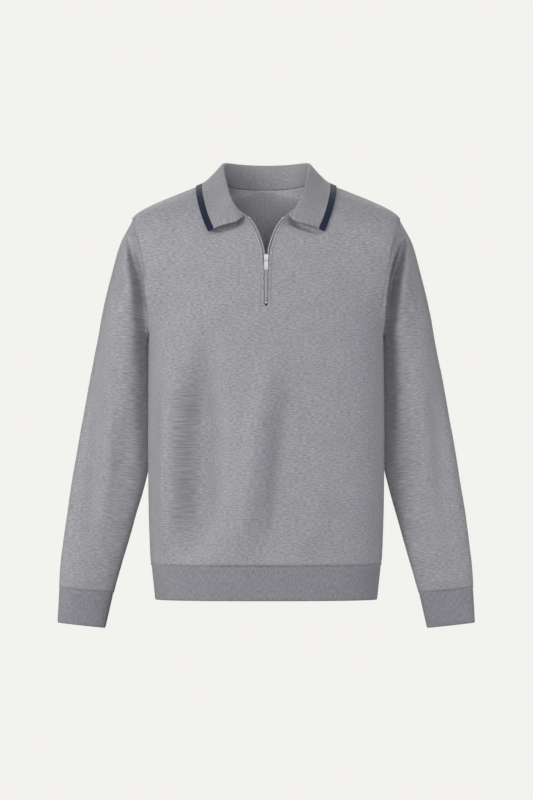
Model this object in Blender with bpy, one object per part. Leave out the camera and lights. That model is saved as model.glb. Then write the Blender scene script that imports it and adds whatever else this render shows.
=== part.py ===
"""A knit polo sweater with a quarter zip, filled out as if worn, with nobody in it.

Metres, +Z up. The origin is on the wearer's shoulder line: X = 0 at the middle, Y = 0 in the plane of the
side and shoulder seams, Z = 0 at the top of the shoulder seams, where they meet the collar. The front faces
-Y and the wearer's left is +X. Left and right halves are mirror images, but for the soft folds.
"""

import math
from collections import namedtuple

import bmesh
import bpy
from mathutils import Matrix, Vector
from mathutils.bvhtree import BVHTree

MM = 0.001

# ------------------------------------------------------------------ driving dimensions
WALL = 2.0 * MM                  # knitted fabric, filled to a wall
SEAM_GAP = 0.3 * MM              # between two pieces at a seam
HEM_SEAM_Z = -0.642              # where the rib hem is joined on
HEM_BOTTOM_Z = -0.699            # body length from the top of the shoulder
SHOULDER = (0.2220, -0.0680)     # x, z of the shoulder point
UNDERARM = (0.1950, -0.2620)     # x, z of the top of the side seam
ARMHOLE_DEPTH = 0.062            # half the armhole's size, front to back
ARMHOLE_SCOOP = 0.0065           # the armhole seam curves this far in towards the chest

RIB_PITCH = 4.1 * MM
RIB_HEIGHT = 0.5 * MM
RIB_WALL = 2.2 * MM
RIBS_PER_INNER_FACE = 4
HEM_STEP = 0.8 * MM              # the rib hem draws in here from the body
HEM_TAPER = 6.0 * MM             # and this much more down to its edge

COLLAR_WALL = 2.2 * MM
FOLD_RADIUS = 3.4 * MM           # outside radius of the collar's fold
COLLAR_LIFT = 1.8 * MM           # least air under the collar's leaf

# Side seam: half the body's width at each height.
SideRow = namedtuple("SideRow", "z half_width")
SIDE = (
    SideRow(-0.6420, 0.1912),
    SideRow(-0.6000, 0.1935),
    SideRow(-0.5400, 0.1950),
    SideRow(-0.4500, 0.1960),
    SideRow(-0.3500, 0.1955),
    SideRow(-0.2620, 0.1950),
)

# Rows of the front panel. Each runs from the centre line, the zip's edge or the neck edge (x, y, z) out to
# the side seam and armhole: 0 hem, 1 underarm, 2 shoulder. "square" is how square the section's corner is.
PanelRow = namedtuple("PanelRow", "x y z out square rows_to_next")
FRONT_ROWS = (
    PanelRow(0.0000, -0.1130, -0.6420, 0.000, 2.50, 3),
    PanelRow(0.0000, -0.1180, -0.5500, 0.240, 2.48, 3),
    PanelRow(0.0000, -0.1205, -0.4400, 0.500, 2.44, 3),
    PanelRow(0.0000, -0.1235, -0.3300, 0.760, 2.38, 3),
    PanelRow(0.0000, -0.1240, -0.2140, 1.020, 2.28, 4),
    PanelRow(0.0036, -0.1195, -0.1500, 1.260, 2.20, 1),
    PanelRow(0.0047, -0.1177, -0.1350, 1.330, 2.18, 1),
    PanelRow(0.0060, -0.1155, -0.1220, 1.400, 2.15, 1),
    PanelRow(0.0095, -0.1120, -0.1080, 1.460, 2.10, 1),
    PanelRow(0.0155, -0.1065, -0.0920, 1.520, 2.05, 2),
    PanelRow(0.0235, -0.0990, -0.0770, 1.580, 2.00, 2),
    PanelRow(0.0315, -0.0900, -0.0665, 1.640, 1.95, 2),
    PanelRow(0.0465, -0.0825, -0.0565, 1.710, 1.85, 2),
    PanelRow(0.0610, -0.0700, -0.0425, 1.780, 1.75, 2),
    PanelRow(0.0720, -0.0530, -0.0265, 1.860, 1.65, 2),
    PanelRow(0.0795, -0.0295, -0.0105, 1.935, 1.60, 2),
    PanelRow(0.0830, 0.0000, 0.0000, 2.000, 1.60, 0),
)
SLIT_ROW = 4                     # row where the zip's slit begins
SLIT_HALF_WIDTH = 3.6 * MM
SLIT_END = 0.04                  # the slit's square end, in rows
ZIP_TOP_ROW = 11                 # row where the zip ends and the neck edge begins

BACK_ROWS = (
    PanelRow(0.0000, 0.1030, -0.6420, 0.000, 2.50, 3),
    PanelRow(0.0000, 0.1035, -0.5500, 0.240, 2.48, 3),
    PanelRow(0.0000, 0.1030, -0.4400, 0.500, 2.44, 3),
    PanelRow(0.0000, 0.1080, -0.3300, 0.750, 2.38, 3),
    PanelRow(0.0000, 0.1145, -0.2200, 1.000, 2.30, 3),
    PanelRow(0.0000, 0.1110, -0.1200, 1.300, 2.20, 2),
    PanelRow(0.0000, 0.0920, -0.0560, 1.560, 2.05, 2),
    PanelRow(0.0000, 0.0665, -0.0175, 1.720, 1.95, 2),
    PanelRow(0.0260, 0.0655, -0.0170, 1.770, 1.90, 2),
    PanelRow(0.0505, 0.0610, -0.0145, 1.830, 1.80, 2),
    PanelRow(0.0710, 0.0480, -0.0090, 1.890, 1.70, 2),
    PanelRow(0.0810, 0.0260, -0.0030, 1.950, 1.60, 2),
    PanelRow(0.0830, 0.0000, 0.0000, 2.000, 1.60, 0),
)
BACK_NECK_ROW = 7                # row where the neck edge begins

PANEL_COLUMNS = 10               # faces from the centre line to the side
COLUMN_EASE = 1.25               # columns are spread evenly over the flat chest

# Sleeve rings, from the armhole to the cuff: outer and inner ends in the front view, and the ring's middle
# and half-size front to back.
SleeveRing = namedtuple("SleeveRing", "outer_x outer_z inner_x inner_z middle_y half_depth rows_to_next")
SLEEVE_RINGS = (
    SleeveRing(0.2220, -0.0680, 0.1950, -0.2620, 0.000, 0.0620, 1),
    SleeveRing(0.2330, -0.0865, 0.1958, -0.2690, 0.009, 0.0588, 1),
    SleeveRing(0.2437, -0.1060, 0.1949, -0.2780, 0.018, 0.0558, 1),
    SleeveRing(0.2512, -0.1310, 0.1940, -0.2900, 0.025, 0.0532, 1),
    SleeveRing(0.2604, -0.1686, 0.1932, -0.3080, 0.031, 0.0512, 1),
    SleeveRing(0.2687, -0.2018, 0.1926, -0.3300, 0.035, 0.0495, 2),
    SleeveRing(0.2820, -0.2682, 0.1920, -0.3750, 0.039, 0.0465, 2),
    SleeveRing(0.2953, -0.3347, 0.1916, -0.4250, 0.041, 0.0430, 2),
    SleeveRing(0.3070, -0.4011, 0.1932, -0.4720, 0.040, 0.0390, 2),
    SleeveRing(0.3186, -0.4676, 0.2030, -0.5150, 0.036, 0.0350, 2),
    SleeveRing(0.3290, -0.5340, 0.2160, -0.5600, 0.029, 0.0305, 2),
    SleeveRing(0.3385, -0.6004, 0.2325, -0.6180, 0.021, 0.0268, 1),
    SleeveRing(0.3440, -0.6440, 0.2440, -0.6570, 0.016, 0.0245, 1),
    SleeveRing(0.3452, -0.6797, 0.2525, -0.6882, 0.014, 0.0220, 0),
)
SLEEVE_AROUND = 20               # faces round a sleeve

CUFF_TOP = SleeveRing(0.3443, -0.6800, 0.2538, -0.6885, 0.014, 0.0205, 1)
CUFF_END = SleeveRing(0.3475, -0.7380, 0.2670, -0.7470, 0.010, 0.0150, 0)

# Collar stations on one half, from the front end to the middle of the back, one at each row of the neck
# edge: the top of the fold, and the outer edge of the leaf.
Station = namedtuple("Station", "fold_x fold_y fold_z edge_x edge_y edge_z")
COLLAR_STATIONS = (
    Station(0.0352, -0.0890, -0.0600, 0.0950, -0.0900, -0.0922),
    Station(0.0463, -0.0815, -0.0495, 0.1010, -0.0830, -0.0800),
    Station(0.0551, -0.0710, -0.0360, 0.1065, -0.0720, -0.0650),
    Station(0.0613, -0.0570, -0.0200, 0.1105, -0.0560, -0.0490),
    Station(0.0651, -0.0400, -0.0025, 0.1130, -0.0330, -0.0325),
    Station(0.0684, -0.0165, 0.0155, 0.1140, 0.0010, -0.0150),
    Station(0.0672, 0.0090, 0.0242, 0.1090, 0.0350, -0.0200),
    Station(0.0600, 0.0340, 0.0258, 0.0940, 0.0620, -0.0290),
    Station(0.0440, 0.0515, 0.0248, 0.0680, 0.0770, -0.0335),
    Station(0.0230, 0.0592, 0.0238, 0.0350, 0.0835, -0.0345),
    Station(0.0000, 0.0612, 0.0234, 0.0000, 0.0850, -0.0345),
)
COLLAR_SPLIT = 2                 # columns between stations
LEAF_ROWS = 4                    # faces down the leaf
FOLD_STEPS = 4                   # faces over the fold

# Soft folds in the front view: a line from (x, z) to (x, z), how far it spreads, and its height.
Fold = namedtuple("Fold", "side top_x top_z bottom_x bottom_z spread height")
BODY_FOLDS = (
    Fold("front", -0.150, -0.290, -0.162, -0.600, 0.020, 5.5 * MM),
    Fold("front", -0.090, -0.310, -0.112, -0.610, 0.023, -5.0 * MM),
    Fold("front", 0.008, -0.320, -0.044, -0.610, 0.026, 5.0 * MM),
    Fold("front", 0.056, -0.330, 0.018, -0.610, 0.026, -3.5 * MM),
    Fold("front", 0.092, -0.440, 0.072, -0.610, 0.024, 2.0 * MM),
    Fold("back", -0.120, -0.330, -0.105, -0.600, 0.026, 4.0 * MM),
    Fold("back", -0.030, -0.370, -0.045, -0.600, 0.026, -3.0 * MM),
    Fold("back", 0.055, -0.330, 0.035, -0.610, 0.030, 4.5 * MM),
    Fold("back", 0.130, -0.350, 0.112, -0.600, 0.022, -2.5 * MM),
)
SLEEVE_FOLDS = (
    Fold("front", 0.250, -0.300, 0.270, -0.600, 0.014, 3.0 * MM),
    Fold("front", 0.278, -0.330, 0.300, -0.600, 0.013, -3.0 * MM),
    Fold("back", 0.250, -0.260, 0.288, -0.560, 0.016, 3.0 * MM),
    Fold("back", 0.222, -0.330, 0.246, -0.560, 0.014, -2.5 * MM),
)

# Zip. Depths are measured inwards from the outside of the front panel.
BOTTOM_STOP_ROW = 4.07           # row of FRONT_ROWS at the middle of the bottom stop
TAPE_BOTTOM_ROW = 4.0885         # row where the tapes begin, just above the bottom stop
TAPE_TOP_ROW = 10.70             # row where the tapes end, below the top stops
TAPE_OVERHANG = 3.35 * MM        # how far the tape shows past the fabric's edge
TAPE_WIDTH = 11.0 * MM
BEAD_WIDTH = 2.0 * MM            # corded edge that carries the teeth
BEAD_FRONT = 0.9 * MM
TAPE_FRONT = 2.3 * MM            # the tape lies behind the panel
TAPE_BACK = 3.1 * MM
STOP_LENGTH = 2.6 * MM
STOP_OVERHANG = 0.2 * MM         # a top stop is this much wider than its bead on each side
STOP_FRONT = 0.5 * MM
STOP_BACK = 3.4 * MM

SLIDER_ROW = 6.07                # row of FRONT_ROWS at the middle of the slider
SLIDER_TOP = 5.7 * MM            # from its middle to its wide end
SLIDER_HALF_WIDTH = 4.0 * MM
SLIDER_NECK = 3.2 * MM           # half its width at the narrow end
PLATE_FRONT = -0.6 * MM          # the front plate stands proud of the fabric
PLATE_THICKNESS = 1.1 * MM
CHANNEL = 2.9 * MM               # between the slider's plates, for the beads
POST_HALF_WIDTH = 1.1 * MM       # the post between the plates parts the two rows of teeth
POST_LENGTH = 2.4 * MM
BAIL_DOWN = 3.2 * MM             # the bail's middle, below the slider's
BAIL_INNER = 1.1 * MM
BAIL_OUTER = 2.2 * MM
BAIL_HALF_WIDTH = 1.0 * MM
PIVOT_AHEAD = 1.0 * MM           # the tab turns about the middle of the bail's arch

TAB_BAR = 0.5 * MM               # half the thickness of the bar that runs through the bail
TAB_THICKNESS = 1.0 * MM
EYE_HALF_WIDTH = 1.6 * MM
EYE_LENGTH = 3.4 * MM
TAB_SHOULDER = 2.8 * MM          # half the tab's width at the eye
TAB_SLOPE = 2.0 * MM             # it widens over this length below the eye
TAB_HALF_WIDTH = 3.3 * MM
TAB_LENGTH = 17.6 * MM
TAB_HOLE_DOWN = 14.6 * MM
TAB_HOLE_HALF_WIDTH = 1.6 * MM
TAB_HOLE_HALF_HEIGHT = 0.7 * MM

COLOURS = {
    "knit": (0.31, 0.31, 0.335, 1.0),
    "rib": (0.25, 0.25, 0.275, 1.0),
    "tape": (0.27, 0.27, 0.29, 1.0),
    "metal": (0.75, 0.75, 0.76, 1.0),
}


# ------------------------------------------------------------------ curves and surfaces
def spline(table, t):
    """Smooth curve through a table's rows of numbers, where t counts rows."""
    last = len(table) - 1
    i = min(int(t), last - 1)
    f = t - i
    before = table[max(i - 1, 0)]
    start = table[i]
    end = table[i + 1]
    after = table[min(i + 2, last)]
    result = []
    for a, b, c, d in zip(before, start, end, after):
        slope_in = (c - a) / 2
        slope_out = (d - b) / 2
        value = b + f * slope_in
        value += f * f * (3 * (c - b) - 2 * slope_in - slope_out)
        value += f * f * f * (2 * (b - c) + slope_in + slope_out)
        result.append(value)
    return result


def table_row(rows, t, corner):
    """A panel's row at t. Its inner end turns a corner at one row, where the neck edge begins."""
    whole = PanelRow(*spline(rows, t))
    if t < corner:
        part = PanelRow(*spline(rows[:corner + 1], t))
    else:
        after = rows[corner + 1]
        before = rows[corner] if rows[corner].x else after._replace(x=-after.x)
        part = PanelRow(*spline((before,) + rows[corner:], t - corner + 1))
    return whole._replace(x=part.x, y=part.y, z=part.z)


def straight(table, x):
    """Value of a two-column table at x, on straight lines between its rows."""
    for (x0, y0), (x1, y1) in zip(table, table[1:]):
        if x <= x1:
            return y0 + (y1 - y0) * max(x - x0, 0.0) / (x1 - x0)
    return table[-1][1]


def smooth_step(x):
    x = max(0.0, min(1.0, x))
    return x * x * (3 - 2 * x)


def signed_power(value, power):
    return math.copysign(abs(value) ** power, value)


def row_steps(rows):
    """The values of t at which the mesh has a row, from the table's own count to the next one."""
    steps = []
    for i, row in enumerate(rows[:-1]):
        for step in range(row.rows_to_next):
            steps.append(i + step / row.rows_to_next)
    steps.append(float(len(rows) - 1))
    return steps


ARMHOLE_TOP = Vector((SHOULDER[0], 0.0, SHOULDER[1]))
ARMHOLE_BOTTOM = Vector((UNDERARM[0], 0.0, UNDERARM[1]))


def armhole(angle, side):
    """Point of the armhole seam: angle 0 at the shoulder, pi at the underarm; side -1 front, 1 back."""
    point = (ARMHOLE_TOP + ARMHOLE_BOTTOM) / 2
    point += (ARMHOLE_TOP - ARMHOLE_BOTTOM) / 2 * math.cos(angle)
    point.y = side * ARMHOLE_DEPTH * math.sin(angle)
    point.x -= ARMHOLE_SCOOP * math.sin(angle) ** 2
    return point


def armhole_inward(angle, side):
    """The way into the arm at a point of the armhole seam, along which both walls there are closed."""
    height = ARMHOLE_TOP - ARMHOLE_BOTTOM
    inward = -height.normalized() * math.cos(angle) / height.length * 2
    inward.y = -side * math.sin(angle) / ARMHOLE_DEPTH
    return inward.normalized()


def panel_outer(out, side):
    """Outer end of a panel's row: 0 to 1 up the side seam, 1 to 2 round the armhole."""
    if out <= 1.0:
        z = SIDE[0].z + (SIDE[-1].z - SIDE[0].z) * out
        return Vector((straight(SIDE, z), 0.0, z))
    return armhole(math.pi * (2.0 - out), side)


def neck_row(side):
    """The row of a panel's table where its neck edge begins."""
    return ZIP_TOP_ROW if side < 0 else BACK_NECK_ROW


def panel_point(rows, t, u, side):
    """Point on the outside of a panel's +X half: t counts rows, u is 0 at the centre and 1 at the side."""
    corner = neck_row(side)
    row = table_row(rows, t, corner)
    inner = Vector((row.x, row.y, row.z))
    if side < 0 and SLIT_ROW < t <= corner:
        inner.x = max(row.x, SLIT_HALF_WIDTH)
    elif t <= corner:
        inner.x = 0.0
    outer = panel_outer(row.out, side)
    angle = u * math.pi / 2
    across = math.sin(angle) ** (2 / row.square)
    depth = max(math.cos(angle), 0.0) ** (2 / row.square)
    point = inner.lerp(outer, across)
    near_edge = u ** 6
    near_edge += (1 - depth - near_edge) * smooth_step((row.out - 1.0) / 0.8)
    point.y = inner.y * depth + outer.y * near_edge
    point.z = inner.z + (outer.z - inner.z) * (0.35 * across + 0.65 * u)
    return point


def panel_edge(rows, t, side):
    """A panel's neck edge at a row: its point, the way out of the panel, and the way across it."""
    point = panel_point(rows, t, 0.0, side)
    beside = panel_point(rows, t, 0.08, side)
    before = panel_point(rows, max(t - 0.25, neck_row(side)), 0.0, side)
    after = panel_point(rows, min(t + 0.25, len(rows) - 1), 0.0, side)
    along = (after - before).normalized()
    way_out = along.cross(beside - point).normalized()
    if way_out.y * side + way_out.z < 0:
        way_out = -way_out
    if t == len(rows) - 1:
        way_out = flattened(way_out, 1)
        along = Vector((0.0, 1.0, 0.0))
    across = way_out.cross(along).normalized()
    if across.dot(beside - point) < 0:
        across = -across
    return point, way_out, across


def fold_height(folds, side, x, z):
    """How far the folds stand out of one side at a place in the front view."""
    total = 0.0
    for fold in folds:
        if fold.side != side:
            continue
        run = Vector((fold.bottom_x - fold.top_x, fold.bottom_z - fold.top_z))
        offset = Vector((x - fold.top_x, z - fold.top_z))
        along = max(0.0, min(1.0, offset.dot(run) / run.length_squared))
        distance = (offset - run * along).length
        fade = smooth_step(along / 0.3) * smooth_step((1 - along) / 0.2)
        total += fold.height * (0.25 + 0.75 * fade) * math.exp(-((distance / fold.spread) ** 2))
    return total


def mirrored_folds(folds):
    return [fold._replace(top_x=-fold.top_x, bottom_x=-fold.bottom_x) for fold in folds]


# ------------------------------------------------------------------ mesh building
def new_material(name, roughness, metallic):
    material = bpy.data.materials.new(name)
    material.use_nodes = True
    shader = material.node_tree.nodes["Principled BSDF"]
    shader.inputs["Base Color"].default_value = COLOURS[name]
    shader.inputs["Roughness"].default_value = roughness
    shader.inputs["Metallic"].default_value = metallic
    return material


def new_object(name, bm, material):
    bmesh.ops.recalc_face_normals(bm, faces=bm.faces)
    mesh = bpy.data.meshes.new(name)
    bm.to_mesh(mesh)
    bm.free()
    mesh.shade_smooth()
    mesh.materials.append(material)
    obj = bpy.data.objects.new(name, mesh)
    bpy.context.scene.collection.objects.link(obj)
    return obj


def grid_faces(bm, verts, closed, flip):
    """Quads over a grid of vertices, joined round when closed."""
    count = len(verts[0])
    for low, high in zip(verts, verts[1:]):
        for i in range(count if closed else count - 1):
            j = (i + 1) % count
            corners = (low[i], low[j], high[j], high[i])
            bm.faces.new(corners[::-1] if flip else corners)


def mirrored_grid(bm, points, flip):
    """A grid of the +X half's points and its mirror image, sharing the points at X = 0."""
    left = [[bm.verts.new(point) for point in row] for row in points]
    right = []
    for row, verts in zip(points, left):
        mirror = []
        for point, vert in zip(row, verts):
            shared = abs(point.x) < 0.00001
            mirror.append(vert if shared else bm.verts.new((-point.x, point.y, point.z)))
        right.append(mirror)
    grid_faces(bm, left, False, flip)
    grid_faces(bm, right, False, not flip)
    return left, right


def raise_folds(bm, folds, weight):
    """Move points along their normals by the folds' height, times a weight that is 0 at the seams."""
    bm.normal_update()
    moves = []
    for vert in bm.verts:
        side = "front" if vert.normal.y < 0 else "back"
        height = fold_height(folds, side, vert.co.x, vert.co.z)
        moves.append(vert.normal * height * weight(vert.co))
    for vert, move in zip(bm.verts, moves):
        vert.co += move


def add_wall(bm, thickness, inward):
    """Close an outer surface into a wall. inward gives the way in at the vertices where a seam sets it."""
    bm.normal_update()
    faces = bm.faces[:]
    rim = [edge.link_loops[0] for edge in bm.edges if edge.is_boundary]
    inner = {}
    for vert in bm.verts[:]:
        way = inward.get(vert, -vert.normal)
        inner[vert] = bm.verts.new(vert.co + way * thickness)
    for face in faces:
        bm.faces.new([inner[vert] for vert in reversed(face.verts)])
    for loop in rim:
        start = loop.vert
        end = loop.link_loop_next.vert
        bm.faces.new((end, start, inner[start], inner[end]))


def flattened(vector, axis):
    """A direction laid into the plane across an axis."""
    flat = vector.copy()
    flat[axis] = 0.0
    return flat.normalized()


# ------------------------------------------------------------------ body panels
def body_weight(point):
    """Where folds show on the body: not at the hem seam or the side seams."""
    return smooth_step((point.z - HEM_SEAM_Z) / 0.05) * smooth_step(abs(point.y) / 0.07)


def panel(name, rows, side, material):
    """The front or back: both halves, sharing the centre line where the zip doesn't part them."""
    steps = row_steps(rows)
    if side < 0:
        steps = sorted(steps + [SLIT_ROW + SLIT_END])
    points = []
    for t in steps:
        row = []
        for i in range(PANEL_COLUMNS + 1):
            row.append(panel_point(rows, t, (i / PANEL_COLUMNS) ** COLUMN_EASE, side))
        points.append(row)
    for row in points:
        row[-1].y += side * SEAM_GAP / 2
    for point in points[-1]:
        point.y = side * SEAM_GAP / 2
    for point in points[0]:
        point.z += SEAM_GAP / 2
    bm = bmesh.new()
    halves = mirrored_grid(bm, points, side > 0)
    raise_folds(bm, BODY_FOLDS, body_weight)
    bm.normal_update()
    outside = bm.copy()
    inward = {}
    for sign, half in zip((1, -1), halves):
        for vert in half[0]:
            inward[vert] = flattened(-vert.normal, 2)
        for t, row in zip(steps, half):
            out = PanelRow(*spline(rows, t)).out
            if out <= 1.0:
                inward[row[-1]] = Vector((-sign, 0.0, 0.0))
            else:
                way = armhole_inward(math.pi * (2.0 - out), side)
                inward[row[-1]] = Vector((sign * way.x, way.y, way.z))
        for vert in half[-1][:-1]:
            inward[vert] = flattened(-vert.normal, 1)
        for t, row in zip(steps, half):
            if t >= neck_row(side):
                way_out = panel_edge(rows, t, side)[1]
                inward[row[0]] = -Vector((sign * way_out.x, way_out.y, way_out.z))
    add_wall(bm, WALL, inward)
    new_object(name, bm, material)
    return outside


def body_tree(*surfaces):
    """The outside of the body, for laying the collar on."""
    points = []
    faces = []
    for surface in surfaces:
        first = len(points)
        surface.verts.index_update()
        points += [vert.co.copy() for vert in surface.verts]
        faces += [[first + vert.index for vert in face.verts] for face in surface.faces]
        surface.free()
    return BVHTree.FromPolygons(points, faces)


# ------------------------------------------------------------------ sleeves
def ring_point(ring, angle, square, scoop):
    """Point of a sleeve's ring: angle 0 at its outer end, pi at its inner end, the front first."""
    outer = Vector((ring.outer_x, 0.0, ring.outer_z))
    inner = Vector((ring.inner_x, 0.0, ring.inner_z))
    across = signed_power(math.cos(angle), 2 / square)
    depth = signed_power(math.sin(angle), 2 / square)
    point = (outer + inner) / 2 + (outer - inner) / 2 * across
    point.y = ring.middle_y - ring.half_depth * depth
    point.x -= scoop * math.sin(angle) ** 2
    return point


def ring_inward(ring, angle):
    """The way in across a ring's own plane."""
    height = Vector((ring.outer_x - ring.inner_x, 0.0, ring.outer_z - ring.inner_z))
    inward = -height.normalized() * math.cos(angle) / height.length * 2
    inward.y = math.sin(angle) / ring.half_depth
    return inward.normalized()


def sleeve_weight(point):
    """Where folds show on a sleeve: not at the armhole or the cuff."""
    below_armhole = smooth_step((SHOULDER[1] - 0.12 - point.z) / 0.1)
    above_cuff = smooth_step((point.z - SLEEVE_RINGS[-1].outer_z) / 0.06)
    return below_armhole * above_cuff


def sleeve(name, sign, material):
    bm = bmesh.new()
    verts = []
    for t in row_steps(SLEEVE_RINGS):
        ring = SleeveRing(*spline(SLEEVE_RINGS, t))
        scoop = ARMHOLE_SCOOP * max(0.0, 1 - t / 3)
        row = []
        for i in range(SLEEVE_AROUND):
            point = ring_point(ring, math.tau * i / SLEEVE_AROUND, 2.0, scoop)
            if t == 0:
                point.x += SEAM_GAP
            row.append(bm.verts.new((sign * point.x, point.y, point.z)))
        verts.append(row)
    grid_faces(bm, verts, True, sign < 0)
    raise_folds(bm, SLEEVE_FOLDS if sign > 0 else mirrored_folds(SLEEVE_FOLDS), sleeve_weight)
    inward = {}
    for i in range(SLEEVE_AROUND):
        angle = math.tau * i / SLEEVE_AROUND
        top = armhole_inward(angle, -1)
        end = ring_inward(SLEEVE_RINGS[-1], angle)
        inward[verts[0][i]] = Vector((sign * top.x, top.y, top.z))
        inward[verts[-1][i]] = Vector((sign * end.x, end.y, end.z))
    add_wall(bm, WALL, inward)
    new_object(name, bm, material)


# ------------------------------------------------------------------ rib hem and cuffs
def even_section(place, centre):
    """A closed section cut into even steps: gives the outer point and the way out at a turn from 0 to 1."""
    count = 720
    points = [place(i / count) for i in range(count + 1)]
    lengths = [0.0]
    for a, b in zip(points, points[1:]):
        lengths.append(lengths[-1] + (a - b).length)
    axis = (points[0] - centre).cross(points[count // 4] - centre).normalized()

    def even(turn):
        target = (turn % 1.0) * lengths[-1]
        low = next(i for i in range(count) if lengths[i + 1] >= target)
        share = (target - lengths[low]) / (lengths[low + 1] - lengths[low])
        return points[low].lerp(points[low + 1], share)

    def section(turn):
        point = even(turn)
        way_out = (even(turn + 0.003) - even(turn - 0.003)).cross(axis).normalized()
        return point, way_out

    return section, lengths[-1]


def ribbed_band(name, bottom, top, material):
    """A band of 1x1 rib: ribs stand out of its outer face, and its inner face is plain."""
    sections = (bottom[0], top[0])
    pieces = round(top[1] / RIB_PITCH / RIBS_PER_INNER_FACE)
    step = RIBS_PER_INNER_FACE * 2
    count = pieces * step
    bm = bmesh.new()
    outer = []
    inner = []
    for section in sections:
        outer_ring = []
        for i in range(count):
            point, way_out = section(i / count)
            depth = 0.0 if i % 2 else RIB_HEIGHT
            outer_ring.append(bm.verts.new(point - way_out * depth))
        inner_ring = []
        for i in range(pieces):
            point, way_out = section(i / pieces)
            inner_ring.append(bm.verts.new(point - way_out * RIB_WALL))
        outer.append(outer_ring)
        inner.append(inner_ring)
    for i in range(count):
        j = (i + 1) % count
        bm.faces.new((outer[0][i], outer[0][j], outer[1][j], outer[1][i]))
    for i in range(pieces):
        j = (i + 1) % pieces
        bm.faces.new((inner[0][j], inner[0][i], inner[1][i], inner[1][j]))
        for level in (0, 1):
            arc = [outer[level][(i * step + k) % count] for k in range(step, -1, -1)]
            edge = [inner[level][i], inner[level][j]] + arc
            bm.faces.new(edge if level else edge[::-1])
    new_object(name, bm, material)


def hem_section(z):
    """The rib hem's section at a height, drawn in a little below the body's."""
    drop = (HEM_SEAM_Z - z) / (HEM_SEAM_Z - HEM_BOTTOM_Z)
    inset = HEM_STEP + HEM_TAPER * drop
    half_width = SIDE[0].half_width - inset
    front = -FRONT_ROWS[0].y - inset
    back = BACK_ROWS[0].y - inset
    power = 2 / FRONT_ROWS[0].square

    def place(turn):
        angle = math.tau * turn
        depth = -signed_power(math.sin(angle), power)
        half_depth = front if depth < 0 else back
        return Vector((half_width * signed_power(math.cos(angle), power), half_depth * depth, z))

    return even_section(place, Vector((0.0, 0.0, z)))


def cuff_section(ring, sign):
    def place(turn):
        point = ring_point(ring, math.tau * turn, 2.2, 0.0)
        return Vector((sign * point.x, point.y, point.z))

    middle_x = (ring.outer_x + ring.inner_x) / 2
    middle_z = (ring.outer_z + ring.inner_z) / 2
    centre = Vector((sign * middle_x, ring.middle_y, middle_z))
    return even_section(place, centre)


# ------------------------------------------------------------------ collar
def settle(point, way_out, tree, clearance):
    """Lift a point off the body, along a way out, until it is the clearance away from it."""
    place, normal, _, _ = tree.ray_cast(point + way_out * 0.06, -way_out)
    if place is None:
        return point
    height = clearance / max(normal.dot(way_out), 0.5)
    return place + way_out * max((point - place).dot(way_out), height)


def neck_edge(s):
    """The body's neck edge, as panel_edge gives it, from the zip (s = 0) to the middle of the back."""
    front_rows = len(FRONT_ROWS) - 1 - ZIP_TOP_ROW
    if s <= front_rows:
        return panel_edge(FRONT_ROWS, ZIP_TOP_ROW + s, -1)
    return panel_edge(BACK_ROWS, len(BACK_ROWS) - 1 - (s - front_rows), 1)


def collar_column(s, tree):
    """Points across the collar's face at one station, up the stand, over the fold and down the leaf, and
    the way through its wall at the neck seam."""
    station = Station(*spline(COLLAR_STATIONS, s))
    fold = Vector(station[:3])
    edge = Vector(station[3:])
    neck, way_out, across = neck_edge(s)
    up = (fold - neck).normalized()
    wall_way = (across * up.dot(way_out) - way_out * up.dot(across)).normalized()
    seam = neck - wall_way * COLLAR_WALL + up * SEAM_GAP * 2
    out = (edge - fold) - up * (edge - fold).dot(up)
    out.normalize()
    centre = fold - up * FOLD_RADIUS + out * FOLD_RADIUS
    points = []
    for i in range(FOLD_STEPS + 1):
        angle = math.pi * i / FOLD_STEPS
        points.append(centre - out * FOLD_RADIUS * math.cos(angle) + up * FOLD_RADIUS * math.sin(angle))
    points = [seam, seam.lerp(points[0], 0.5)] + points
    top = len(points) - 1 - FOLD_STEPS // 2
    leaf_start = points[-1]
    for i in range(1, LEAF_ROWS + 1):
        points.append(leaf_start.lerp(edge, i / LEAF_ROWS))
    for i in range(top, len(points)):
        points[i] = settle(points[i], way_out, tree, COLLAR_WALL + COLLAR_LIFT)
    return points, wall_way


def collar(material, tree):
    bm = bmesh.new()
    last = (len(COLLAR_STATIONS) - 1) * COLLAR_SPLIT
    columns = []
    seam_ways = []
    for i in range(last + 1):
        points, way = collar_column(i / COLLAR_SPLIT, tree)
        columns.append(points)
        seam_ways.append(way)
    for point in columns[-1]:
        point.x = 0.0
    halves = mirrored_grid(bm, columns, False)
    inward = {}
    for sign, half in zip((1, -1), halves):
        for column, way in zip(half, seam_ways):
            inward[column[0]] = Vector((sign * way.x, way.y, way.z))
    add_wall(bm, COLLAR_WALL, inward)
    new_object("collar", bm, material)


# ------------------------------------------------------------------ zip
def opening_frame(t):
    """The front opening at a row: its edge, and the ways up along it, across the panel and out of it."""
    edge = panel_point(FRONT_ROWS, t, 0.0, -1)
    across = (panel_point(FRONT_ROWS, t, 0.05, -1) - edge).normalized()
    along = panel_point(FRONT_ROWS, t + 0.1, 0.0, -1) - panel_point(FRONT_ROWS, t - 0.1, 0.0, -1)
    out = across.cross(along).normalized()
    return edge, along.normalized(), across, out


def swept_bar(name, steps, section, sign, material):
    """A bar along the opening's edge. section lists (across, inwards) corners from the fabric's edge."""
    bm = bmesh.new()
    rows = []
    for t in steps:
        edge, _, across, out = opening_frame(t)
        row = []
        for sideways, inwards in section:
            point = edge + across * sideways - out * inwards
            row.append(bm.verts.new((sign * point.x, point.y, point.z)))
        rows.append(row)
    grid_faces(bm, rows, True, False)
    bm.faces.new(rows[0])
    bm.faces.new(rows[-1])
    return new_object(name, bm, material)


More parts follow.
